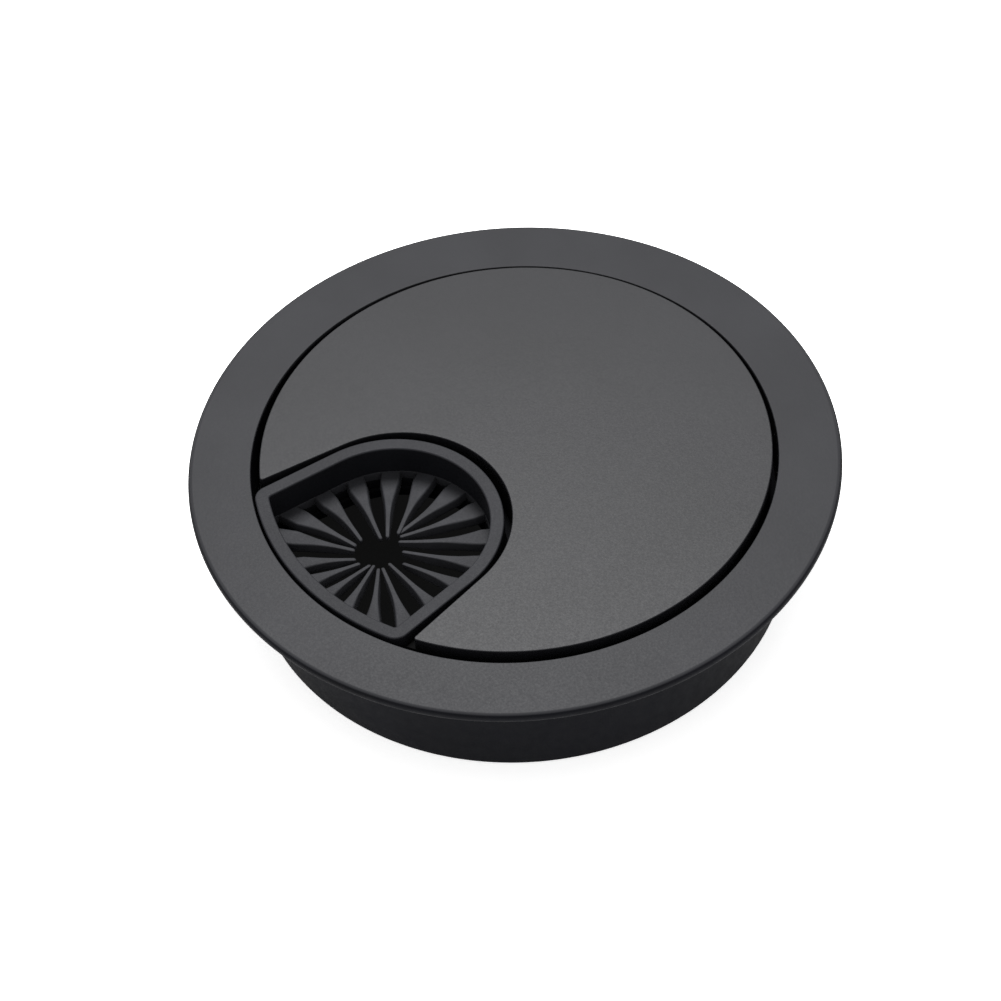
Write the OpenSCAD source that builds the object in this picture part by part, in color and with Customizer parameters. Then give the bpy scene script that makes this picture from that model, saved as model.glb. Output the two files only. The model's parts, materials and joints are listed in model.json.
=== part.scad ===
// Desk grommet: a flanged sleeve for a round hole in a desk top, with a cover that turns and lifts out,
// and a drop-in cable outlet whose opening is closed by flexible fingers.
// Millimetres, +Z up. The origin is on the sleeve's axis, in the plane of the sleeve's foot.
// The cable outlet lies on the -Y side, and the part is mirror-symmetric about the plane X = 0.

/* [Sleeve] */
// Diameter of the desk hole that the sleeve drops into
hole_d = 80; // [79.8:0.1:80.4]
// Outer diameter of the flange
flange_d = 95; // [92:1:104]
// Thickness of the flange at the sleeve
flange_t = 2; // [1.6:0.1:2.6]
// Fall of the flange's top face from the sleeve to its rim, which is fully round
flange_fall = 0.4; // [0:0.1:0.6]
// Height of the sleeve, from its foot to the top of the flange
sleeve_h = 21.4; // [21.2:0.2:30]
// Thickness of the sleeve's wall
sleeve_wall = 1.45; // [1.3:0.05:1.6]

/* [Cover] */
// Height of the cover plate's top above the flange
cover_rise = 0.6; // [0.2:0.1:1]
// Thickness of the cover plate
cover_t = 2; // [1.6:0.1:2.4]
// Radial gap between the cover plate and the sleeve
cover_gap = 1.1; // [0.9:0.1:1.3]
// Radius of the notch's round end
notch_end_r = 16.6; // [16.5:0.1:16.8]
// Distance of the notch's round end from the axis
notch_y = 20.75; // [20.6:0.05:20.9]

/* [Cable outlet] */
// Radius of the frame's round end
frame_end_r = 16; // [15.6:0.1:16.1]
// Distance of the frame's round end from the axis
frame_y = 21.5; // [21.3:0.1:21.7]
// Angle by which each straight side flares away from the outlet's centre line
flare = 7.7; // [6:0.1:9]
// Width of the frame's top face
frame_band = 2; // [1.8:0.1:2.4]
// Radius of the frame's outer corners
frame_corner_r = 2.2; // [1:0.1:2.4]
// Depth of the frame's top face below the top of the cover plate
frame_drop = 0.3; // [0.1:0.1:0.6]
// Depth of the fingers below the frame's top face
recess_depth = 4.9; // [4:0.1:5.4]

/* [Fingers] */
// Number of fingers, an even number so that a slot lies on the outlet's centre line
finger_count = 18; // [16:2:20]
// Thickness of the fingers and of the rim that they grow from
finger_t = 1.6; // [1.2:0.1:1.8]
// Distance from the axis of the point that the fingers aim at
finger_y = 23.5; // [22.5:0.1:24]
// Radius of the open circle between the fingertips
tip_r = 2.95; // [2.9:0.05:3.5]
// Width of a fingertip
tip_w = 0.5; // [0.3:0.05:0.6]
// Distance from the aim point at which a finger starts to flare
neck_r = 7.4; // [7:0.1:8]
// Width of a finger at that point
neck_w = 0.66; // [0.6:0.02:0.8]
// Growth of a finger's half width for each millimetre from there to its root
finger_flare = 0.19; // [0.17:0.005:0.2]

/* [Fasteners] */
// Angles of the cover screws about the axis
screw_angles = [20, 65, 115, 160]; // four angles between 10 and 170
// Distance of the cover screws from the axis
screw_pcd_r = 31; // [30.5:0.1:31.5]
// Radius of the screw thread
screw_r = 1.2; // [1:0.05:1.3]
// Radius of the screw head
screw_head_r = 2.2; // [2:0.1:2.4]

/* [Hidden] */
$fn = 144;
eps = 0.01;

// Sleeve
sleeve_r = (hole_d - 0.5) / 2;
bore_r = sleeve_r - sleeve_wall;
flange_r = flange_d / 2;
flange_z = sleeve_h - flange_t;
rim_r = (flange_t - flange_fall) / 2;
foot_chamfer = 0.5;
mouth_chamfer = 0.3;
ledge_w = 2.3;
ledge_t = 1.5;
rest_gap = 0.1;

// Levels of the cover and the cable outlet
cover_r = bore_r - cover_gap;
cover_top = sleeve_h + cover_rise;
plate_z = cover_top - cover_t;
frame_top = cover_top - frame_drop;
finger_top = frame_top - recess_depth;
rim_z = finger_top - finger_t;
finger_mid = finger_top - finger_t / 2;
clamp_t = 1.7;
floor_top = rim_z - clamp_t;
floor_t = 1.5;
lip_h = 1.4;

// Carrier under the cover plate
skirt_foot = floor_top - 5.5;
ledge_top = skirt_foot - rest_gap;
band_top = floor_top - 0.5;
band_r = bore_r - 0.4;
band_inner_r = band_r - 2.9;
skirt_r = cover_r - 0.2;
skirt_inner_r = skirt_r - 1.5;
pocket_play = 0.1;
pocket_wall = 1.4;
frame_play = 0.25;

// Spring ring in the carrier's groove
groove_z = skirt_foot + 1.8;
groove_h = 1.6;
groove_r = band_r - 1.5;
ring_play = 0.08;
ring_r = bore_r - 0.05;
ring_split = 3;

// Outlet frame, clamp ring and finger rim
frame_rim_r = bore_r - 0.7;
seat_inset = 0.9;
seat_play = 0.1;
bead_w = 0.3;
bead_h = 0.6;
bead_z = floor_top + 0.6;
groove_play = 0.1;
inner_corner_r = 0.6;
hinge_gap = 0.08;
root_stub = 0.3;

// Screws
boss_r = 2.6;
tab_r = 4;
thread_play = 0.05;
hole_play = 0.2;
head_h = 1.1;
shank_h = 5;
drive_w = 0.5;
drive_l = 2.4;
drive_h = 0.7;

finger_step = 360 / finger_count;

// Names of the fingers, numbered round the opening from its centre line
finger_names = [for (k = [1:finger_count]) str("finger_", k < 10 ? "0" : "", k)];

// ---- Outline of the cable outlet ----

// Outward normal and direction of a straight side, s = 1 on the +X side and -1 on the -X side
function side_normal(s) = [s * cos(flare), sin(flare)];
function side_dir(s) = [s * sin(flare), -cos(flare)];

// Distance along direction v from point p to the circle of radius r about the point c
function to_circle(p, v, c, r) =
    let (q = p - c)
    -q * v + sqrt(pow(q * v, 2) - q * q + r * r);

// Fan shape: a round end of radius end_r at distance end_y, straight sides tangent to it,
// an arc of radius rim_r about the axis, and two outer corners of radius corner_r
module fan(end_y, end_r, rim_r, corner_r) {
    difference() {
        intersection() {
            circle(r = rim_r);
            union() {
                translate([0, -end_y])
                    circle(r = end_r);
                fan_wedge(end_y, end_r, rim_r);
            }
        }
        for (s = [-1, 1])
            corner_waste(s, end_y, end_r, rim_r, corner_r);
    }
}

module fan_wedge(end_y, end_r, length) {
    left = [0, -end_y] + end_r * side_normal(-1);
    right = [0, -end_y] + end_r * side_normal(1);
    polygon([left, right, right + length * side_dir(1), left + length * side_dir(-1)]);
}

// What lies outside the rounded corner, between its two tangent points
module corner_waste(s, end_y, end_r, rim_r, corner_r) {
    start = [0, -end_y] + (end_r - corner_r) * side_normal(s);
    centre = start + to_circle(start, side_dir(s), [0, 0], rim_r - corner_r) * side_dir(s);
    reach = corner_r + 0.5;
    out = centre / norm(centre);
    side = side_normal(s);
    difference() {
        polygon([centre, centre + reach * side, centre + reach * (side + out), centre + reach * out]);
        translate(centre)
            circle(r = corner_r);
    }
}

// The frame's own outline, moved inward by inset
module frame_outline(inset) {
    fan(frame_y, frame_end_r - inset, frame_rim_r - inset, max(frame_corner_r - inset, inner_corner_r));
}

// The cover's notch, open at the rim, grown by extra
module notch_outline(extra = 0) {
    open_rim = bore_r + 2;
    fan(notch_y, notch_end_r + extra, open_rim, inner_corner_r);
}

// ---- Geometry of the fingers ----

// Angle of finger k about the point that the fingers aim at
function finger_angle(k) = (k - 0.5) * finger_step - 90;
function finger_dir(k) = [cos(finger_angle(k)), sin(finger_angle(k))];
function finger_side(k) = [-sin(finger_angle(k)), cos(finger_angle(k))];
// Half the width of a finger between its neck and its root
function half_width(r) = neck_w / 2 + finger_flare * (r - neck_r);

// Distance from p along v to the wall of the frame's opening
function to_wall(p, v) =
    let (end = [0, -frame_y])
    let (end_r = frame_end_r - frame_band)
    let (chord_y = -frame_y + end_r * sin(flare))
    let (to_end = to_circle(p, v, end, end_r))
    let (to_sides = [for (s = [-1, 1]) side_normal(s) * v > eps
        ? (end_r - side_normal(s) * (p - end)) / (side_normal(s) * v) : flange_d])
    let (to_chord = v[1] > eps ? (chord_y - p[1]) / v[1] : flange_d)
    min(to_circle(p, v, [0, 0], frame_rim_r - frame_band), max(to_end, min(to_chord, min(to_sides))));

// Distance of finger k's hinge line from the point that the fingers aim at
function hinge_r(k) =
    let (aim = [0, -finger_y])
    let (half = half_width(to_wall(aim, finger_dir(k))))
    min([for (s = [-1, 0, 1]) to_wall(aim + s * half * finger_side(k), finger_dir(k))])
        - root_stub - hinge_gap - finger_t / 2;

module at_finger(k) {
    translate([0, -finger_y, 0])
        rotate([0, 0, finger_angle(k)])
            children();
}

// ---- Sub-parts ----

module sleeve() {
    color("#3b3b3e")
        rotate_extrude() {
            polygon([[bore_r, 0], [sleeve_r - foot_chamfer, 0], [sleeve_r, foot_chamfer],
                     [sleeve_r, flange_z + eps], [bore_r, flange_z + eps]]);
            polygon([[bore_r + eps, ledge_top], [bore_r - ledge_w, ledge_top],
                     [bore_r - ledge_w, ledge_top - ledge_t],
                     [bore_r + eps, ledge_top - ledge_t - ledge_w]]);
            polygon([[bore_r, flange_z], [flange_r - rim_r, flange_z],
                     [flange_r - rim_r, flange_z + 2 * rim_r], [bore_r + mouth_chamfer, sleeve_h],
                     [bore_r, sleeve_h - mouth_chamfer]]);
            translate([flange_r - rim_r, flange_z + rim_r])
                circle(r = rim_r);
        }
}

// Split ring that grips the sleeve's bore and stays in the carrier's groove
module spring_ring() {
    color("#8d9094")
        difference() {
            translate([0, 0, groove_z + ring_play])
                linear_extrude(groove_h - 2 * ring_play)
                    difference() {
                        circle(r = ring_r);
                        circle(r = groove_r + ring_play);
                    }
            translate([-ring_split / 2, 0, groove_z])
                cube([ring_split, sleeve_r, groove_h]);
        }
}

module cover_plate() {
    color("#47484d") {
        translate([0, 0, plate_z])
            linear_extrude(cover_t)
                difference() {
                    circle(r = cover_r);
                    notch_outline();
                }
        for (a = screw_angles)
            rotate([0, 0, a])
                translate([screw_pcd_r, 0, 0])
                    screw_boss();
    }
}

// Blind boss that takes a cover screw
module screw_boss() {
    boss_z = floor_top + floor_t;
    difference() {
        translate([0, 0, boss_z])
            cylinder(r = boss_r, h = plate_z - boss_z + eps);
        translate([0, 0, boss_z - eps])
            cylinder(r = screw_r + thread_play, h = shank_h - floor_t + 0.5);
    }
}

module cover_carrier() {
    color("#2b2b2d")
        difference() {
            union() {
                rotate_extrude()
                    carrier_profile();
                translate([0, 0, floor_top - floor_t])
                    linear_extrude(plate_z - floor_top + floor_t)
                        intersection() {
                            circle(r = skirt_r);
                            notch_outline(pocket_play + pocket_wall);
                        }
                translate([0, 0, floor_top - floor_t])
                    linear_extrude(floor_t)
                        intersection() {
                            circle(r = band_r);
                            notch_outline(pocket_play);
                        }
                for (a = screw_angles)
                    rotate([0, 0, a])
                        screw_tab();
            }
            pocket_space();
            for (a = screw_angles)
                rotate([0, 0, a])
                    translate([screw_pcd_r, 0, floor_top - eps])
                        cylinder(r = screw_r + hole_play, h = floor_t + 2 * eps);
        }
}

// Half section of the skirt: a thin upper wall and a thick lower band with the ring's groove
module carrier_profile() {
    translate([skirt_inner_r, band_top - eps])
        square([skirt_r - skirt_inner_r, plate_z - band_top + eps]);
    difference() {
        translate([band_inner_r, skirt_foot])
            square([band_r - band_inner_r, band_top - skirt_foot]);
        translate([groove_r, groove_z])
            square([band_r - groove_r + eps, groove_h]);
    }
}

// Space that the cable outlet drops into, with a locating lip at its floor and an opening through it
module pocket_space() {
    translate([0, 0, floor_top + lip_h])
        linear_extrude(plate_z)
            notch_outline(pocket_play);
    translate([0, 0, floor_top])
        linear_extrude(plate_z)
            frame_outline(-frame_play);
    translate([0, 0, floor_top])
        linear_extrude(plate_z)
            difference() {
                notch_outline(pocket_play);
                circle(r = skirt_r - 1);
            }
    translate([0, 0, skirt_foot - eps])
        linear_extrude(plate_z)
            frame_outline(frame_band);
}

// Tab of the carrier under a boss of the cover plate
module screw_tab() {
    translate([0, 0, floor_top])
        linear_extrude(floor_t) {
            translate([screw_pcd_r, 0])
                circle(r = tab_r);
            translate([screw_pcd_r, -tab_r])
                square([skirt_inner_r - screw_pcd_r, 2 * tab_r]);
        }
}

module cover_screws() {
    color("#7b7d80")
        for (a = screw_angles)
            rotate([0, 0, a])
                translate([screw_pcd_r, 0, floor_top])
                    cover_screw();
}

// Screw put in from below, with a cross recess in its head
module cover_screw() {
    cylinder(r = screw_r, h = shank_h);
    difference() {
        translate([0, 0, -head_h])
            cylinder(r = screw_head_r, h = head_h);
        for (a = [0, 90])
            rotate([0, 0, a])
                translate([-drive_l / 2, -drive_w / 2, -head_h - eps])
                    cube([drive_l, drive_w, drive_h]);
    }
}

module outlet_frame() {
    color("#3f3f43")
        difference() {
            translate([0, 0, floor_top])
                linear_extrude(frame_top - floor_top)
                    frame_outline(0);
            translate([0, 0, floor_top - eps])
                linear_extrude(frame_top)
                    frame_outline(frame_band);
            translate([0, 0, floor_top - eps])
                linear_extrude(finger_top - floor_top + eps)
                    frame_outline(seat_inset);
            translate([0, 0, bead_z - groove_play])
                linear_extrude(bead_h + 2 * groove_play)
                    frame_outline(seat_inset + seat_play - bead_w - groove_play);
        }
}

// Rim of the flexible web, with a stub in front of each finger
module finger_rim() {
    color("#4c4c4f")
        translate([0, 0, rim_z])
            linear_extrude(finger_t)
                intersection() {
                    frame_outline(seat_inset + seat_play);
                    union() {
                        difference() {
                            circle(r = bore_r);
                            frame_outline(frame_band);
                        }
                        for (k = [1:finger_count])
                            at_finger(k)
                                finger_stub(hinge_r(k));
                    }
                }
}

module finger_stub(r) {
    half = half_width(r);
    translate([r + finger_t / 2 + hinge_gap, -half])
        square([frame_end_r / 2, 2 * half]);
}

// Ring that snaps into the frame from below and holds the rim
module clamp_ring() {
    color("#2b2b2d")
        difference() {
            union() {
                translate([0, 0, floor_top])
                    linear_extrude(clamp_t)
                        frame_outline(seat_inset + seat_play);
                translate([0, 0, bead_z])
                    linear_extrude(bead_h)
                        frame_outline(seat_inset + seat_play - bead_w);
            }
            translate([0, 0, floor_top - eps])
                linear_extrude(clamp_t + 2 * eps)
                    frame_outline(frame_band);
        }
}

// Slim finger that flares towards its root, which is round about the hinge line
module finger(k) {
    r = hinge_r(k);
    half = half_width(r);
    root = r + finger_t;
    color("#505053")
        at_finger(k)
            intersection() {
                translate([0, 0, rim_z - finger_t])
                    linear_extrude(3 * finger_t)
                        polygon([[tip_r, -tip_w / 2], [neck_r, -neck_w / 2], [r, -half], [root, -half],
                                 [root, half], [r, half], [neck_r, neck_w / 2], [tip_r, tip_w / 2]]);
                rotate([90, 0, 0])
                    translate([0, 0, -2 * half])
                        linear_extrude(4 * half)
                            finger_profile(r);
            }
}

// Side view of a finger from its tip to its rounded root
module finger_profile(r) {
    translate([tip_r - 1, rim_z])
        square([r - tip_r + 1, finger_t]);
    translate([r, finger_mid])
        circle(d = finger_t);
}

sleeve();
spring_ring();
cover_plate();
cover_carrier();
cover_screws();
outlet_frame();
finger_rim();
clamp_ring();
for (k = [1:finger_count])
    finger(k);
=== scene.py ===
"""Looks of the desk grommet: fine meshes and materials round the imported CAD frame.

Lengths in this file are millimetres until mm() turns them into Blender's metres. The part stands on its
sleeve's foot at z = 0, the cable outlet is on the -Y side, and the camera looks over it from the front right.
"""

import json
import math

import bmesh
import bpy
import numpy as np
from mathutils import Matrix, Vector


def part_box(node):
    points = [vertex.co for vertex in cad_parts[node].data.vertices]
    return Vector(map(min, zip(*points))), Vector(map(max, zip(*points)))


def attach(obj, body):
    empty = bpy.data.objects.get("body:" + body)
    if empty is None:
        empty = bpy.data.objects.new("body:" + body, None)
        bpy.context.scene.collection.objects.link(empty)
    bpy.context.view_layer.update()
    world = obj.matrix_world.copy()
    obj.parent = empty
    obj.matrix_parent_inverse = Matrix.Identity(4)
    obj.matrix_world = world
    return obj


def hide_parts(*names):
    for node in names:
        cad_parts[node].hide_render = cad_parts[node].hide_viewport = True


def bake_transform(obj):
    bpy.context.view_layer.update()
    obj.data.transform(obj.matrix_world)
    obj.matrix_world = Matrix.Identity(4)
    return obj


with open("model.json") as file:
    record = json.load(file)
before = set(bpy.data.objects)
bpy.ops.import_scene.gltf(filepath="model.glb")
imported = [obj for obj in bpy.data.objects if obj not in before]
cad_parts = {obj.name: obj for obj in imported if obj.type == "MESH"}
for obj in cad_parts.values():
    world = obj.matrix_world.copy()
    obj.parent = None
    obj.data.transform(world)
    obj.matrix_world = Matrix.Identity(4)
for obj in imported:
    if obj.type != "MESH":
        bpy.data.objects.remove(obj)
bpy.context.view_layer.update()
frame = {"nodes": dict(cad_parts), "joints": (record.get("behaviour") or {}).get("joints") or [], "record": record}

# ---- Sizes ----------------------------------------------------------------------------------------------


def mm(value):
    """Millimetres as Blender metres."""
    return value * 0.001


def cad(node, corner, axis):
    """One coordinate of a CAD node's box, in millimetres: corner 0 is the lowest, 1 the highest."""
    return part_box(node)[corner][axis] * 1000


X, Y, Z = 0, 1, 2
LOW, HIGH = 0, 1
CENTRE = np.zeros(2)

# Levels and radii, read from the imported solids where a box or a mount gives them. The flange is FLANGE_T
# thick, and its top falls by FLANGE_FALL from the bore to its rim. The spring ring has RING_PLAY in the bore
FLANGE_R = min(-cad("sleeve", LOW, X), cad("sleeve", HIGH, Y))
FLANGE_TOP = cad("sleeve", HIGH, Z)
FLANGE_T = 2.0
FLANGE_UNDER = FLANGE_TOP - FLANGE_T
FLANGE_FALL = 0.4
SLEEVE_R = next(m for m in frame["record"]["mounts"] if m["name"] == "sleeve_outside")["dims"]["r_mm"]
RING_R = cad("spring_ring", HIGH, X)
RING_PLAY = 0.05
BORE_R = RING_R + RING_PLAY
RING_LOW = cad("spring_ring", LOW, Z)
RING_TOP = cad("spring_ring", HIGH, Z)
COVER_R = cad("cover_plate", HIGH, X)
COVER_TOP = cad("cover_plate", HIGH, Z)
BOSS_Z = cad("cover_plate", LOW, Z)
PLATE_UNDER = cad("cover_carrier", HIGH, Z)
SKIRT_FOOT = cad("cover_carrier", LOW, Z)
FRAME_TOP = cad("outlet_frame", HIGH, Z)
FLOOR_TOP = cad("outlet_frame", LOW, Z)
WEB_UNDER = cad("finger_rim", LOW, Z)
WEB_TOP = cad("finger_rim", HIGH, Z)

# Outline of the cable outlet: its frame, which lies a little askew in its play, and the notch that it sits
# in. Each has a round end about a middle point and two sides, whose flare is given for +X and for -X. The
# frame closes with an arc along the bore. The notch opens at the cover's rim, and the cover is off centre too
FRAME_MIDDLE = np.array([-0.3, -21.65])
FRAME_END_R = 16.3
FRAME_FLARE = {1: math.radians(9.1), -1: math.radians(4.4)}
FRAME_RIM_MIDDLE = np.array([-0.3, -0.25])
FRAME_RIM_R = BORE_R - 0.7
FRAME_BAND = 2.0
FRAME_CORNER_R = 2.2
INNER_CORNER_R = 0.6
NOTCH_MIDDLE = np.array([-0.2, -20.75])
NOTCH_END_R = 16.7
NOTCH_FLARE = {1: math.radians(12.1), -1: math.radians(7.7)}
NOTCH_CORNER_R = 0.4
COVER_MIDDLE = np.array([-0.10, 0.38])

# Inside of the frame: the seat for the web and its clamp ring, and the bead that the ring snaps in with
SEAT_INSET = 0.9
SEAT_PLAY = 0.1
BEAD_W = 0.3
BEAD_H = 0.6
BEAD_Z = FLOOR_TOP + 0.6
BEAD_PLAY = 0.1

# Fingers: all aim at the point (0, -FINGER_Y). TIP_W and NECK_W are their widths at the radii TIP_R and
# NECK_R about it. Past the neck each side flares by FINGER_FLARE, which sets in gently over NECK_EASE on both
# sides of the neck. A finger that is rooted beyond NEAR_ROOT_R has its neck farther out, by NECK_SHARE of the
# extra length. The underside is wider by DRAFT a side, from DRAFT_RUN behind the tip on, as a mould needs it
FINGERS = sorted(name for name in frame["nodes"] if name.startswith("finger_") and name != "finger_rim")
FINGER_Y = 23.5
FINGER_T = WEB_TOP - WEB_UNDER
TIP_R = 2.95
TIP_W = 0.5
NECK_R = 7.4
NECK_W = 0.66
FINGER_FLARE = 0.19
NECK_EASE = 2.2
NEAR_ROOT_R = 10.8
NECK_SHARE = 0.5
DRAFT = 0.28
DRAFT_RUN = 4.0

# Tip of a finger: the length that is rounded, the least share of the size at its very end, its thickness as a
# share of FINGER_T, the run over which the finger reaches its full thickness, and the share of the lost half
# thickness that raises its middle. EDGE_SHARE is the rounding of the long edges as a share of the half size
TIP_ROUND = 0.35
TIP_BLUNT = 0.12
TIP_SHARE = 0.6
TIP_RUN = 6.0
TIP_RAISE = 0.6
EDGE_SHARE = 0.4

# Root of a finger: how far it runs into the frame's wall
ROOT_DEPTH = 0.5

# What each finger has taken as a set, in order round the outlet: the distance of its tip from the point
# aimed at, how far the tip leans aside (anticlockwise positive), how far it stands up, and how far its root
# lies aside
SETS = [
    (2.6, 0.0, -0.1, -0.7), (2.4, -0.3, 0.1, -0.7), (2.5, -0.5, -0.2, -0.5), (2.4, -0.8, 0.0, -0.4),
    (2.0, -0.5, 0.2, 0.1), (2.9, 0.5, -0.8, 1.0), (2.4, 1.2, -0.3, 1.1), (2.3, 1.8, 0.2, 1.0),
    (3.4, 1.7, 0.1, 1.1), (4.2, 1.2, -0.2, 0.7), (4.1, -0.4, 0.1, 0.5), (3.1, -0.3, 0.0, 0.3),
    (2.9, -0.4, -0.1, 0.3), (3.9, 1.1, 0.1, 0.5), (4.3, 0.7, -0.2, 0.7), (4.2, 0.2, 0.0, -0.3),
    (4.0, 0.2, -0.3, 0.0), (3.7, 0.1, 0.1, -0.4),
]

# Bosses under the cover that its screws bite in
SCREW_ANGLES = (20, 65, 115, 160)
SCREW_PCD_R = 31
BOSS_R = 2.6
BOSS_BORE_R = 1.3
BOSS_SINK = 0.1

# Edges of the cover plate, and broken edges of the pieces that are shown as the CAD solids
COVER_EDGE_R = 0.14
COVER_UNDER_R = 0.12
BROKEN_EDGE = 0.12
BROKEN_FROM = 40

# Sleeve's ledge and foot, and the spring ring in the carrier's groove
LEDGE_W = 2.3
LEDGE_T = 1.5
REST_GAP = 0.1
FOOT_CHAMFER = 0.5
GROOVE_DEPTH = 1.5
BAND_PLAY = 0.4
RING_INSIDE_PLAY = 0.08
RING_SPLIT = 3.0

# Camera, fitted to the picture's perspective. Its azimuth is counted from the -Y axis
CAMERA_AZIMUTH = math.radians(57.0)
CAMERA_ELEVATION = math.radians(48.36)
CAMERA_DISTANCE = 550.0
CAMERA_ROLL = math.radians(4.19)
CAMERA_PAN = math.radians(0.2056)
CAMERA_TILT = math.radians(0.6130)
CAMERA_LENS = 136.31
CAMERA_SENSOR = 36.0

# Studio: a floor that glows by LIGHT_TABLE with a well in it that is painted near black as painted shade, a white
# dome of strength DOME, and one square lamp, whose power is in watts
FLOOR_R = 4000
WELL_R = BORE_R + 0.5
WELL_DEPTH = 30
LIGHT_TABLE = 0.6
DOME = 1.05
LAMP_AZIMUTH = math.radians(241)
LAMP_ELEVATION = math.radians(63)
LAMP_DISTANCE = 600
LAMP_SIDE = 230
LAMP_POWER = 6.1

# Fineness of the meshes: the steps or points along each kind of line
CORNER_STEPS = 8
SIDE_POINTS = 10
END_STEPS = 96
RIM_STEPS = 48
COVER_STEPS = 240
COVER_EDGE_POINTS = 8
COVER_UNDER_POINTS = 4
SLEEVE_SEGMENTS = 320
SLEEVE_EDGE_STEPS = 10
BOSS_SEGMENTS = 64
RING_SEGMENTS = 256
WELL_SEGMENTS = 128
TIP_RINGS = 6
FINGER_RINGS = 44
FINGER_EDGE_STEPS = 4

# ---- Outlines -------------------------------------------------------------------------------------------


def turn(angle):
    """Unit vector at an angle from +X."""
    return np.array([math.cos(angle), math.sin(angle)])


def side_normal(s, flare):
    """Outward normal of the outlet's straight side, s = 1 on the +X side and -1 on the -X side."""
    return np.array([s * math.cos(flare[s]), math.sin(flare[s])])


def side_direction(s, flare):
    """Direction in which that side runs outward to the rim."""
    return np.array([s * math.sin(flare[s]), -math.cos(flare[s])])


def to_circle(point, direction, centre, radius):
    """Distance from a point inside a circle, along a direction, to the circle."""
    offset = point - centre
    along = offset @ direction
    return -along + math.sqrt(along**2 - offset @ offset + radius**2)


def arc(centre, radius, start, end, count):
    """count + 1 points along an arc, both ends included."""
    return [centre + radius * turn(a) for a in np.linspace(start, end, count + 1)]


def side_points(start, end):
    """Points between the two ends of a straight side, its ends left out."""
    return list(np.linspace(start, end, SIDE_POINTS)[1:-1])


def angle_of(vector):
    """Angle of a vector from +X."""
    return math.atan2(vector[1], vector[0])


def corner_centre(s, middle, end_r, flare, rim_middle, rim_r, corner_r):
    """Centre of the rounded corner between a straight side and the rim arc.

    corner_r is negative where the solid lies outside the outline, as round the notch.
    """
    start = middle + (end_r - corner_r) * side_normal(s, flare)
    direction = side_direction(s, flare)
    return start + to_circle(start, direction, rim_middle, rim_r - abs(corner_r)) * direction


def frame_outline(inset):
    """Closed outline of the outlet, moved inward by inset, anticlockwise from its +X corner."""
    end_r = FRAME_END_R - inset
    rim_r = FRAME_RIM_R - inset
    corner_r = max(FRAME_CORNER_R - inset, INNER_CORNER_R)
    right, left = (corner_centre(s, FRAME_MIDDLE, end_r, FRAME_FLARE, FRAME_RIM_MIDDLE, rim_r, corner_r)
                   for s in (1, -1))
    side_r, side_l = (side_normal(s, FRAME_FLARE) for s in (1, -1))
    out_r = angle_of(right - FRAME_RIM_MIDDLE)
    out_l = angle_of(left - FRAME_RIM_MIDDLE)
    points = arc(right, corner_r, out_r, angle_of(side_r), CORNER_STEPS)
    points += side_points(points[-1], FRAME_MIDDLE + end_r * side_r)
    points += arc(FRAME_MIDDLE, end_r, angle_of(side_r), angle_of(side_l), END_STEPS)
    points += side_points(points[-1], left + corner_r * side_l)
    points += arc(left, corner_r, angle_of(side_l), out_l + 2 * math.pi, CORNER_STEPS)
    points += arc(FRAME_RIM_MIDDLE, rim_r, out_l, out_r, RIM_STEPS)[1:-1]
    return np.array(points)


def plate_outline(inset):
    """Closed outline of the cover plate with its notch, moved into the plate by inset.

    The plate lies a little off centre in its play, so its gap is wider on one side than on the other.
    """
    end_r = NOTCH_END_R + inset
    corner_r = NOTCH_CORNER_R - inset
    right, left = (corner_centre(s, NOTCH_MIDDLE, NOTCH_END_R, NOTCH_FLARE, COVER_MIDDLE, COVER_R,
                                 -NOTCH_CORNER_R) for s in (1, -1))
    side_r, side_l = (side_normal(s, NOTCH_FLARE) for s in (1, -1))
    out_r = angle_of(right - COVER_MIDDLE)
    out_l = angle_of(left - COVER_MIDDLE)
    points = arc(COVER_MIDDLE, COVER_R - inset, out_r, out_l + 2 * math.pi, COVER_STEPS)
    points += arc(left, corner_r, out_l, angle_of(-side_l), CORNER_STEPS)[1:]
    points += side_points(points[-1], NOTCH_MIDDLE + end_r * side_l)
    points += arc(NOTCH_MIDDLE, end_r, angle_of(side_l), angle_of(side_r), END_STEPS)
    points += side_points(points[-1], right - corner_r * side_r)
    points += arc(right, corner_r, angle_of(-side_r) + 2 * math.pi, out_r + 2 * math.pi, CORNER_STEPS)[:-1]
    return np.array(points)


def rounded(corners, steps=6):
    """Polygon as a closed line whose corners (x, y, radius) are rounded by arcs."""
    line = []
    count = len(corners)
    for i, (x, y, radius) in enumerate(corners):
        point = np.array([x, y], float)
        if radius == 0:
            line.append(point)
            continue
        before = np.array(corners[i - 1][:2], float) - point
        after = np.array(corners[(i + 1) % count][:2], float) - point
        before /= np.linalg.norm(before)
        after /= np.linalg.norm(after)
        half = math.acos(max(-1.0, min(1.0, before @ after))) / 2
        bisector = (before + after) / np.linalg.norm(before + after)
        centre = point + bisector * radius / math.sin(half)
        first = point + before * radius / math.tan(half) - centre
        last = point + after * radius / math.tan(half) - centre
        start = angle_of(first)
        sweep = (angle_of(last) - start + math.pi) % (2 * math.pi) - math.pi
        line += arc(centre, radius, start, start + sweep, steps)
    return line


# ---- Meshes ---------------------------------------------------------------------------------------------


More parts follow.
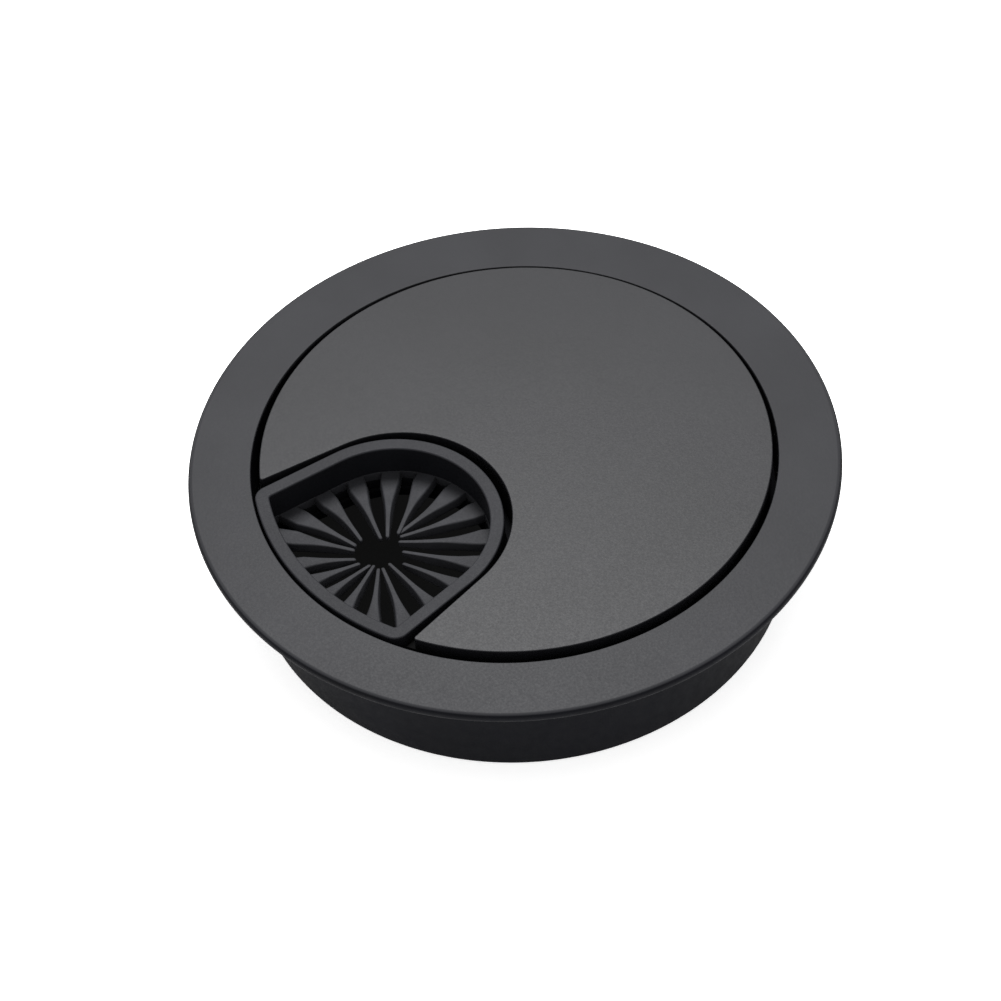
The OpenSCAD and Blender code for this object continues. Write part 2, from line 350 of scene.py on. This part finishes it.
class Build:
    """Collects the vertices and faces of one piece, in millimetres."""

    def __init__(self):
        """Starts with nothing."""
        self.points = []
        self.faces = []

    def ring(self, points):
        """Adds a ring of points and returns their numbers."""
        first = len(self.points)
        self.points += [tuple(p) for p in points]
        return list(range(first, len(self.points)))

    def skin(self, rings, closed=True, wrap=False):
        """Faces between neighbouring rings: closed round each ring, and wrap joins the last to the first."""
        pairs = list(zip(rings, rings[1:]))
        if wrap:
            pairs.append((rings[-1], rings[0]))
        for a, b in pairs:
            count = len(a)
            for i in range(count if closed else count - 1):
                j = (i + 1) % count
                self.faces.append((a[i], a[j], b[j], b[i]))

    def cap(self, ring, flip=False):
        """One face that closes a ring."""
        self.faces.append(tuple(reversed(ring)) if flip else tuple(ring))

    def object(self, name, material, flat_edges=35):
        """The finished piece, with smooth rounded edges and flat faces that shade flat."""
        mesh = bpy.data.meshes.new(name)
        mesh.from_pydata([tuple(mm(c) for c in p) for p in self.points], [], self.faces)
        mesh.validate()
        mesh.materials.append(material)
        for polygon in mesh.polygons:
            polygon.use_smooth = True
        mesh.set_sharp_from_angle(angle=math.radians(flat_edges))
        piece = bpy.data.objects.new(name, mesh)
        bpy.context.scene.collection.objects.link(piece)
        recalculate(piece)
        weighted = piece.modifiers.new("flat faces", "WEIGHTED_NORMAL")
        weighted.keep_sharp = True
        weighted.weight = 100
        return piece


def recalculate(piece):
    """Turns all faces outward."""
    work = bmesh.new()
    work.from_mesh(piece.data)
    bmesh.ops.recalc_face_normals(work, faces=work.faces)
    work.to_mesh(piece.data)
    work.free()


def revolve(build, line, segments, start=0.0, sweep=2 * math.pi, centre=CENTRE):
    """Turns a closed (radius, z) line about an upright axis, all the way or over a sweep with flat ends."""
    whole = abs(sweep - 2 * math.pi) < 1e-6
    angles = start + sweep * np.arange(segments + (0 if whole else 1)) / segments
    rings = [build.ring([(*(centre + r * turn(a)), z) for r, z in line]) for a in angles]
    build.skin(rings, closed=True, wrap=whole)
    if not whole:
        build.cap(rings[0])
        build.cap(rings[-1], flip=True)


def sweep_outline(build, line, outline):
    """Turns a closed (inset, z) line into a frame that follows an outline."""
    rings = [build.ring([(x, y, z) for x, y in outline(inset)]) for inset, z in line]
    build.skin(rings, wrap=True)


# ---- Materials ------------------------------------------------------------------------------------------


def grey(level, blue=0.0):
    """A neutral colour, or a slightly blue one."""
    return (level * (1 - blue), level * (1 - blue * 0.8), level * (1 + blue))


class Nodes:
    """A material's node tree, with short calls to add and join nodes."""

    def __init__(self, name):
        """A new material, placed by its piece's own coordinates."""
        self.material = bpy.data.materials.new(name)
        self.material.use_nodes = True
        self.tree = self.material.node_tree
        self.shader = self.tree.nodes["Principled BSDF"]
        self.place = self.add("ShaderNodeTexCoord").outputs["Object"]

    def add(self, kind, **values):
        """A new node with its settings."""
        node = self.tree.nodes.new(kind)
        for key, value in values.items():
            setattr(node, key, value)
        return node

    def join(self, source, target):
        """Joins an output to an input."""
        self.tree.links.new(source, target)

    def noise(self, size, detail=2.0, roughness=0.5, place=None):
        """Noise whose features are about size millimetres across, from 0 to 1."""
        node = self.add("ShaderNodeTexNoise")
        node.inputs["Scale"].default_value = 1 / mm(size)
        node.inputs["Detail"].default_value = detail
        node.inputs["Roughness"].default_value = roughness
        self.join(place or self.place, node.inputs["Vector"])
        return node.outputs["Fac"]

    def spread(self, source, low, high, start=0.3, end=0.7):
        """The source's values from start to end, moved to low to high."""
        node = self.add("ShaderNodeMapRange")
        for socket, value in zip(node.inputs[1:5], (start, end, low, high)):
            socket.default_value = value
        self.join(source, node.inputs["Value"])
        return node.outputs["Result"]

    def above(self, low, high):
        """0 below one height in millimetres and 1 above another, at rest and as the part moves."""
        split = self.add("ShaderNodeSeparateXYZ")
        self.join(self.place, split.inputs[0])
        return self.spread(split.outputs["Z"], 0.0, 1.0, mm(low), mm(high))

    def greys(self, source, dark, light, blue=0.0):
        """A grey that wanders from dark to light with the source."""
        factor = self.spread(source, 0.0, 1.0)
        node = self.add("ShaderNodeMix", data_type="RGBA")
        node.inputs["A"].default_value = (*grey(dark, blue), 1)
        node.inputs["B"].default_value = (*grey(light, blue), 1)
        self.join(factor, node.inputs["Factor"])
        return node.outputs["Result"]

    def mix(self, kind, factor, low, high):
        """One of two sources by factor, or between them: FLOAT mixes values and RGBA mixes colours."""
        node = self.add("ShaderNodeMix", data_type=kind)
        self.join(factor, node.inputs["Factor"])
        self.join(low, node.inputs["A"])
        self.join(high, node.inputs["B"])
        return node.outputs["Result"]

    def bump(self, height, depth, below=None):
        """A bump of depth millimetres, on top of the one below it."""
        node = self.add("ShaderNodeBump")
        node.inputs["Distance"].default_value = mm(depth)
        self.join(height, node.inputs["Height"])
        if below is not None:
            self.join(below, node.inputs["Normal"])
        return node.outputs["Normal"]

    def finish(self, colour, roughness, normal, specular=0.5, metallic=0.0, glow=0.0):
        """The finished material, which gives off its own colour by glow."""
        self.join(colour, self.shader.inputs["Base Color"])
        self.join(roughness, self.shader.inputs["Roughness"])
        self.join(normal, self.shader.inputs["Normal"])
        self.shader.inputs["Specular IOR Level"].default_value = specular
        self.shader.inputs["Metallic"].default_value = metallic
        if glow:
            self.join(colour, self.shader.inputs["Emission Color"])
            self.shader.inputs["Emission Strength"].default_value = glow
        return self.material


def sleeve_paint():
    """Satin powder coat on the flange top, and everything below the rim's top edge far darker and rougher: the
    darkness is painted shade.
    """
    n = Nodes("sleeve_paint")
    cloud = n.noise(14.0, 3.0)
    grain = n.noise(0.35, 3.0, 0.6)
    peel = n.noise(1.6, 2.0)
    # Painted shade: the rim's curve and all faces below it take the dark wall colour, as they turn away from the
    # light.
    above = n.above(FLANGE_TOP - FLANGE_FALL - 0.2, FLANGE_TOP - FLANGE_FALL - 0.06)
    top = n.greys(cloud, 0.0176, 0.0210, 0.06)
    wall = n.greys(cloud, 0.0015, 0.0026, 0.35)
    colour = n.mix("RGBA", above, wall, top)
    roughness = n.mix("FLOAT", above, n.spread(peel, 0.58, 0.66), n.spread(grain, 0.40, 0.50))
    normal = n.bump(grain, 0.012, n.bump(peel, 0.006))
    return n.finish(colour, roughness, normal, specular=0.07)


def cover_paint():
    """Very fine satin coat, slightly cooler than the flange, with its rounded edges and sides darker as painted
    shade.
    """
    n = Nodes("cover_paint")
    cloud = n.noise(22.0, 3.0)
    grain = n.noise(0.28, 3.0, 0.6)
    peel = n.noise(2.0, 2.0)
    # Painted shade: the plate's rounded edges and sides, below its top face, take the darker edge colour.
    above = n.above(COVER_TOP - 0.22, COVER_TOP - 0.12)
    top = n.greys(cloud, 0.0076, 0.0096, 0.10)
    edge = n.greys(cloud, 0.004, 0.006, 0.1)
    colour = n.mix("RGBA", above, edge, top)
    roughness = n.spread(grain, 0.37, 0.46)
    normal = n.bump(grain, 0.010, n.bump(peel, 0.004))
    return n.finish(colour, roughness, normal, specular=0.115)


def frame_plastic():
    """Fine matte moulded plastic of the outlet frame, darker down its walls than on its top face as painted shade.
    """
    n = Nodes("frame_plastic")
    grain = n.noise(0.22, 3.0, 0.65)
    cloud = n.noise(9.0, 2.0)
    # Painted shade: the frame's walls, below its top face, take the darker wall colour.
    above = n.above(FRAME_TOP - 0.3, FRAME_TOP - 0.18)
    top = n.greys(cloud, 0.0110, 0.0142, 0.10)
    wall = n.greys(cloud, 0.004, 0.006, 0.15)
    colour = n.mix("RGBA", above, wall, top)
    roughness = n.spread(grain, 0.54, 0.66)
    normal = n.bump(grain, 0.014)
    return n.finish(colour, roughness, normal, specular=0.12)


def carrier_plastic():
    """Plain black moulded plastic, out of sight in use but for its top face in the gap at the notch, which is near
    black as painted shade.
    """
    n = Nodes("carrier_plastic")
    grain = n.noise(0.4, 3.0, 0.6)
    flow = n.noise(7.0, 4.0, 0.6)
    side = n.greys(flow, 0.004, 0.006, 0.1)
    # Painted shade: the carrier's top face, seen in the gap at the notch, is near black.
    painted_shade_on_top = n.greys(flow, 0.0006, 0.0009, 0.1)
    top = n.above(PLATE_UNDER - 0.3, PLATE_UNDER - 0.1)
    colour = n.mix("RGBA", top, side, painted_shade_on_top)
    roughness = n.spread(flow, 0.72, 0.84)
    normal = n.bump(grain, 0.010)
    return n.finish(colour, roughness, normal, specular=0.05)


def finger_rubber():
    """Soft matte rubber with a faint bloom and mould grain."""
    n = Nodes("finger_rubber")
    bloom = n.noise(3.2, 4.0, 0.6)
    grain = n.noise(0.18, 2.0, 0.6)
    colour = n.greys(bloom, 0.0145, 0.0215, 0.08)
    roughness = n.spread(grain, 0.60, 0.74)
    normal = n.bump(grain, 0.010, n.bump(bloom, 0.02))
    return n.finish(colour, roughness, normal, specular=0.15)


def steel(name, low, high, rough):
    """Drawn or plated steel with fine streaks round the part."""
    n = Nodes(name)
    stretch = n.add("ShaderNodeMapping")
    stretch.inputs["Scale"].default_value = (1, 1, 6)
    n.join(n.place, stretch.inputs["Vector"])
    streak = n.noise(1.2, 4.0, 0.6, stretch.outputs["Vector"])
    tarnish = n.noise(5.0, 3.0)
    colour = n.greys(tarnish, low, high, 0.02)
    roughness = n.spread(streak, rough, rough + 0.14)
    normal = n.bump(streak, 0.006)
    return n.finish(colour, roughness, normal, metallic=1.0)


SLEEVE_PAINT_AND_SHADE = sleeve_paint()
COVER_PAINT_AND_SHADE = cover_paint()
FRAME_PLASTIC_AND_SHADE = frame_plastic()
CARRIER_PLASTIC_AND_SHADE = carrier_plastic()
FINGER_RUBBER = finger_rubber()
SPRING_STEEL = steel("spring_steel", 0.12, 0.17, 0.34)
SCREW_STEEL = steel("screw_steel", 0.12, 0.17, 0.36)


# ---- Pieces ---------------------------------------------------------------------------------------------


def dress(piece, body, slot, *nodes):
    """The piece rides on a body and stands for CAD nodes, which it hides. slot is not used."""
    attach(piece, body)
    if nodes:
        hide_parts(*nodes)
    return piece


def make_sleeve():
    """Flange with a full round rim, sleeve with a rounded foot, and the ledge that the cover rests on."""
    ledge_top = SKIRT_FOOT - REST_GAP
    ledge_r = BORE_R - LEDGE_W
    rim_d = FLANGE_T - FLANGE_FALL
    rim_r = rim_d / 2 - 0.01
    corners = [
        (BORE_R, 0, 0.2),
        (SLEEVE_R, 0, FOOT_CHAMFER),
        (SLEEVE_R, FLANGE_UNDER, 0.15),
        (FLANGE_R, FLANGE_UNDER, rim_r),
        (FLANGE_R, FLANGE_UNDER + rim_d, rim_r),
        (BORE_R, FLANGE_TOP, 0.14),
        (BORE_R, ledge_top, 0.1),
        (ledge_r, ledge_top, 0.15),
        (ledge_r, ledge_top - LEDGE_T, 0.3),
        (BORE_R, ledge_top - LEDGE_T - LEDGE_W, 0.4),
    ]
    build = Build()
    revolve(build, rounded(corners, SLEEVE_EDGE_STEPS), SLEEVE_SEGMENTS)
    return dress(build.object("sleeve_body", SLEEVE_PAINT_AND_SHADE), "sleeve", "sleeve_paint", "sleeve")


def make_cover_plate():
    """Disc whose edges are rounded all round its rim and notch, and the four screw bosses under it."""
    edge, under = COVER_EDGE_R, COVER_UNDER_R
    build = Build()
    line = [(under, PLATE_UNDER)]
    line += [(under - under * math.sin(a), PLATE_UNDER + under - under * math.cos(a))
             for a in np.linspace(0, math.pi / 2, COVER_UNDER_POINTS)[1:]]
    line += [(edge - edge * math.cos(a), COVER_TOP - edge + edge * math.sin(a))
             for a in np.linspace(0, math.pi / 2, COVER_EDGE_POINTS)]
    rings = [build.ring([(x, y, z) for x, y in plate_outline(inset)]) for inset, z in line]
    build.skin(rings)
    build.cap(rings[0], flip=True)
    build.cap(rings[-1])
    boss_top = PLATE_UNDER + BOSS_SINK
    boss = [
        (BOSS_BORE_R, BOSS_Z, 0.1),
        (BOSS_R, BOSS_Z, 0.2),
        (BOSS_R, boss_top, 0.05),
        (BOSS_BORE_R, boss_top, 0.05),
    ]
    for angle in SCREW_ANGLES:
        revolve(build, rounded(boss), BOSS_SEGMENTS, centre=SCREW_PCD_R * turn(math.radians(angle)))
    return dress(build.object("cover_disc", COVER_PAINT_AND_SHADE), "cover", "cover_paint", "cover_plate")


def make_outlet_frame():
    """Flush frame of the cable outlet, with rounded top edges, a seat for the web and the clamp's groove."""
    wall = SEAT_INSET
    groove = SEAT_INSET - BEAD_W
    groove_top = BEAD_Z + BEAD_H + BEAD_PLAY
    groove_foot = BEAD_Z - BEAD_PLAY
    corners = [
        (0, FLOOR_TOP, 0.15),
        (0, FRAME_TOP, 0.22),
        (FRAME_BAND, FRAME_TOP, 0.25),
        (FRAME_BAND, WEB_TOP, 0.1),
        (wall, WEB_TOP, 0.05),
        (wall, groove_top, 0.05),
        (groove, groove_top, 0.05),
        (groove, groove_foot, 0.05),
        (wall, groove_foot, 0.05),
        (wall, FLOOR_TOP, 0.1),
    ]
    build = Build()
    sweep_outline(build, rounded(corners), frame_outline)
    return dress(build.object("outlet_frame_body", FRAME_PLASTIC_AND_SHADE), "outlet", "frame_plastic", "outlet_frame")


def make_clamp_ring():
    """Ring snapped in under the web."""
    outer = SEAT_INSET + SEAT_PLAY
    bead = outer - BEAD_W
    corners = [
        (outer, FLOOR_TOP, 0.15),
        (outer, BEAD_Z, 0.05),
        (bead, BEAD_Z, 0.1),
        (bead, BEAD_Z + BEAD_H, 0.1),
        (outer, BEAD_Z + BEAD_H, 0.05),
        (outer, WEB_UNDER, 0.05),
        (FRAME_BAND, WEB_UNDER, 0.1),
        (FRAME_BAND, FLOOR_TOP, 0.3),
    ]
    build = Build()
    sweep_outline(build, rounded(corners), frame_outline)
    return dress(build.object("clamp_ring_body", CARRIER_PLASTIC_AND_SHADE), "outlet", "carrier_plastic", "clamp_ring")


def make_finger_rim():
    """Rim of the rubber web, clamped between the frame's seat and the ring."""
    outer = SEAT_INSET + SEAT_PLAY
    corners = [
        (outer, WEB_UNDER, 0.1),
        (outer, WEB_TOP, 0.1),
        (FRAME_BAND, WEB_TOP, 0.15),
        (FRAME_BAND, WEB_UNDER, 0.15),
    ]
    build = Build()
    sweep_outline(build, rounded(corners), frame_outline)
    return dress(build.object("web_rim", FINGER_RUBBER), "outlet", "finger_rubber", "finger_rim")


def make_spring_ring():
    """Split ring with rounded edges in the carrier's groove."""
    inner = BORE_R - BAND_PLAY - GROOVE_DEPTH + RING_INSIDE_PLAY
    corners = [
        (inner, RING_LOW, 0.2),
        (RING_R, RING_LOW, 0.35),
        (RING_R, RING_TOP, 0.35),
        (inner, RING_TOP, 0.2),
    ]
    half_gap = math.asin(RING_SPLIT / 2 / RING_R)
    build = Build()
    sweep = 2 * math.pi - 2 * half_gap
    revolve(build, rounded(corners), RING_SEGMENTS, math.pi / 2 + half_gap, sweep)
    return dress(build.object("spring_ring_body", SPRING_STEEL), "spring_ring", "spring_steel", "spring_ring")


# ---- Fingers --------------------------------------------------------------------------------------------


def to_wall(point, direction):
    """Distance from a point along a direction to the wall of the outlet's opening.

    The opening is the round end with what lies between the two sides, and it ends at the rim's arc. A side
    counts only for a direction that isn't parallel to it.
    """
    parallel = 0.01
    end_r = FRAME_END_R - FRAME_BAND
    normals = [side_normal(s, FRAME_FLARE) for s in (-1, 1)]
    sides = [(end_r - normal @ (point - FRAME_MIDDLE)) / (normal @ direction)
             for normal in normals if normal @ direction > parallel]
    if direction[1] > parallel:
        chord_y = FRAME_MIDDLE[1] + end_r * min(normal[1] for normal in normals)
        sides.append((chord_y - point[1]) / direction[1])
    past_end = max(to_circle(point, direction, FRAME_MIDDLE, end_r), min(sides))
    return min(past_end, to_circle(point, direction, FRAME_RIM_MIDDLE, FRAME_RIM_R - FRAME_BAND))


def half_width(r, root_r):
    """Half the width of a finger, slim to its neck and flared from there to its root."""
    slim = TIP_W / 2 + (NECK_W - TIP_W) / 2 * (r - TIP_R) / (NECK_R - TIP_R)
    past_neck = r - NECK_R - NECK_SHARE * max(0.0, root_r - NEAR_ROOT_R)
    eased = max(0.0, min(past_neck + NECK_EASE, 2 * NECK_EASE))**2 / (4 * NECK_EASE)
    return slim + (eased + max(0.0, past_neck - NECK_EASE)) * FINGER_FLARE


def make_finger(node, tip_r, lean, lift, aside):
    """One slim rubber finger, rooted in the rim, that bends over its free length.

    tip_r, lean, lift and aside are its row of SETS.
    """
    joint = next(j for j in frame["joints"] if j["child"] == node)
    hinge = np.array(joint["pos_m"][:2]) * 1000
    aim = np.array([0, -FINGER_Y])
    root_r = np.linalg.norm(hinge - aim)
    out = (hinge - aim) / root_r
    across = np.array([-out[1], out[0]])
    half_root = half_width(root_r, root_r) + DRAFT
    wall_r = max(to_wall(aim + (aside + s * half_root) * across, out) for s in (-1, 0, 1))
    end_r = wall_r + ROOT_DEPTH
    build = Build()
    rings = []
    round_r = TIP_ROUND
    stations = [tip_r + round_r * (1 - math.cos(a)) for a in np.linspace(0, math.pi / 2, TIP_RINGS)]
    stations += list(np.linspace(tip_r + round_r, end_r, FINGER_RINGS)[1:])
    for r in stations:
        back = max(0.0, tip_r + round_r - r) / round_r
        blunt = max(TIP_BLUNT, math.sqrt(max(0.0, 1 - back**2)))
        half_w = half_width(min(r, root_r), root_r) * blunt
        thickened = TIP_SHARE + (1 - TIP_SHARE) * min(1.0, (r - tip_r) / TIP_RUN)
        half_t = FINGER_T / 2 * thickened * blunt
        free = max(0.0, (root_r - r) / (root_r - tip_r))
        centre = aim + out * r + across * (lean * free**1.5 + aside * (1 - free))
        middle = WEB_TOP - FINGER_T / 2 + lift * free**2 + (FINGER_T / 2 - half_t) * TIP_RAISE
        soft = min(half_w, half_t) * EDGE_SHARE
        foot_w = half_w + DRAFT * min(1.0, (r - tip_r) / DRAFT_RUN)
        section = rounded([(-foot_w, -half_t, soft), (foot_w, -half_t, soft),
                           (half_w, half_t, soft), (-half_w, half_t, soft)], FINGER_EDGE_STEPS)
        rings.append(build.ring([(*(centre + across * u), middle + v) for u, v in section]))
    build.skin(rings)
    build.cap(rings[0], flip=True)
    build.cap(rings[-1])
    piece = build.object(f"{node}_rubber", FINGER_RUBBER, flat_edges=50)
    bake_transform(piece)
    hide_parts(node)
    return piece


def finish_cad(piece, material):
    """A CAD piece as it is, with a better material and its edges broken."""
    piece.data.materials.clear()
    piece.data.materials.append(material)
    bevel = piece.modifiers.new("broken edges", "BEVEL")
    bevel.width = mm(BROKEN_EDGE)
    bevel.segments = 2
    bevel.limit_method = "ANGLE"
    bevel.angle_limit = math.radians(BROKEN_FROM)
    bevel.harden_normals = True


# ---- Scene ----------------------------------------------------------------------------------------------


def make_floor():
    """Large pale floor that glows a little like a light table, so that no hard shadow falls on it.

    It has a well under the sleeve, as if the grommet lay over the hole in a desk top, and the well is painted near
    black as painted shade.
    """
    angles = np.linspace(0, 2 * math.pi, WELL_SEGMENTS, endpoint=False)
    build = Build()
    rings = [build.ring([(*(r * turn(a)), z) for a in angles])
             for r, z in ((FLOOR_R, 0), (WELL_R, 0), (WELL_R, -WELL_DEPTH))]
    build.skin(rings)
    build.cap(rings[-1])
    n = Nodes("floor")
    shade = n.noise(60.0, 2.0)
    pale = n.greys(shade, 0.91, 0.92)
    # Painted shade: below the floor's level the well is near black, so that the slots between the fingers look
    # dark.
    dark = n.greys(shade, 0.0065, 0.0085)
    colour = n.mix("RGBA", n.above(-0.02, -0.01), dark, pale)
    roughness = n.spread(shade, 0.7, 0.75)
    material = n.finish(colour, roughness, n.bump(shade, 0.01), specular=0.2, glow=LIGHT_TABLE)
    floor = build.object("floor", material)
    return floor


def make_camera():
    """Camera at the picture's height, distance and tilt, aimed at the flange."""
    data = bpy.data.cameras.new("camera")
    data.lens = CAMERA_LENS
    data.sensor_width = CAMERA_SENSOR
    data.clip_start = 0.01
    data.clip_end = 20.0
    camera = bpy.data.objects.new("camera", data)
    bpy.context.scene.collection.objects.link(camera)
    target = Vector((0, 0, mm((FLANGE_TOP + FLANGE_UNDER) / 2)))
    around = Matrix.Rotation(CAMERA_AZIMUTH, 4, "Z")
    above = Matrix.Rotation(math.pi / 2 - CAMERA_ELEVATION, 4, "X")
    back = Matrix.Translation((0, 0, mm(CAMERA_DISTANCE)))
    roll = Matrix.Rotation(-CAMERA_ROLL, 4, "Z")
    pan = Matrix.Rotation(CAMERA_PAN, 4, "Y")
    tilt = Matrix.Rotation(-CAMERA_TILT, 4, "X")
    camera.matrix_world = Matrix.Translation(target) @ around @ above @ back @ roll @ pan @ tilt
    bpy.context.scene.camera = camera


def make_light():
    """Soft lamp aimed at the part, behind it as the camera sees it. Its azimuth is from the -Y axis."""
    data = bpy.data.lights.new("overhead", "AREA")
    data.shape = "RECTANGLE"
    data.size = mm(LAMP_SIDE)
    data.size_y = mm(LAMP_SIDE)
    data.energy = LAMP_POWER
    lamp = bpy.data.objects.new("overhead", data)
    bpy.context.scene.collection.objects.link(lamp)
    level = math.cos(LAMP_ELEVATION)
    back = Vector((math.sin(LAMP_AZIMUTH) * level, -math.cos(LAMP_AZIMUTH) * level, math.sin(LAMP_ELEVATION)))
    lamp.location = back * mm(LAMP_DISTANCE)
    lamp.rotation_mode = "QUATERNION"
    lamp.rotation_quaternion = back.to_track_quat("Z", "Y")


def make_world():
    """White studio dome, and colours shown as they are."""
    world = bpy.data.worlds.new("studio")
    world.use_nodes = True
    sky = world.node_tree.nodes["Background"]
    sky.inputs["Color"].default_value = (1, 1, 1, 1)
    sky.inputs["Strength"].default_value = DOME
    bpy.context.scene.world = world
    bpy.context.scene.view_settings.view_transform = "Standard"


make_camera()
make_world()
make_light()
make_floor()
make_sleeve()
make_cover_plate()
make_outlet_frame()
make_clamp_ring()
make_finger_rim()
make_spring_ring()
for node, finger_set in zip(FINGERS, SETS):
    make_finger(node, *finger_set)
for node, material in (("cover_carrier", CARRIER_PLASTIC_AND_SHADE), ("cover_screws", SCREW_STEEL)):
    finish_cad(frame["nodes"][node], material)
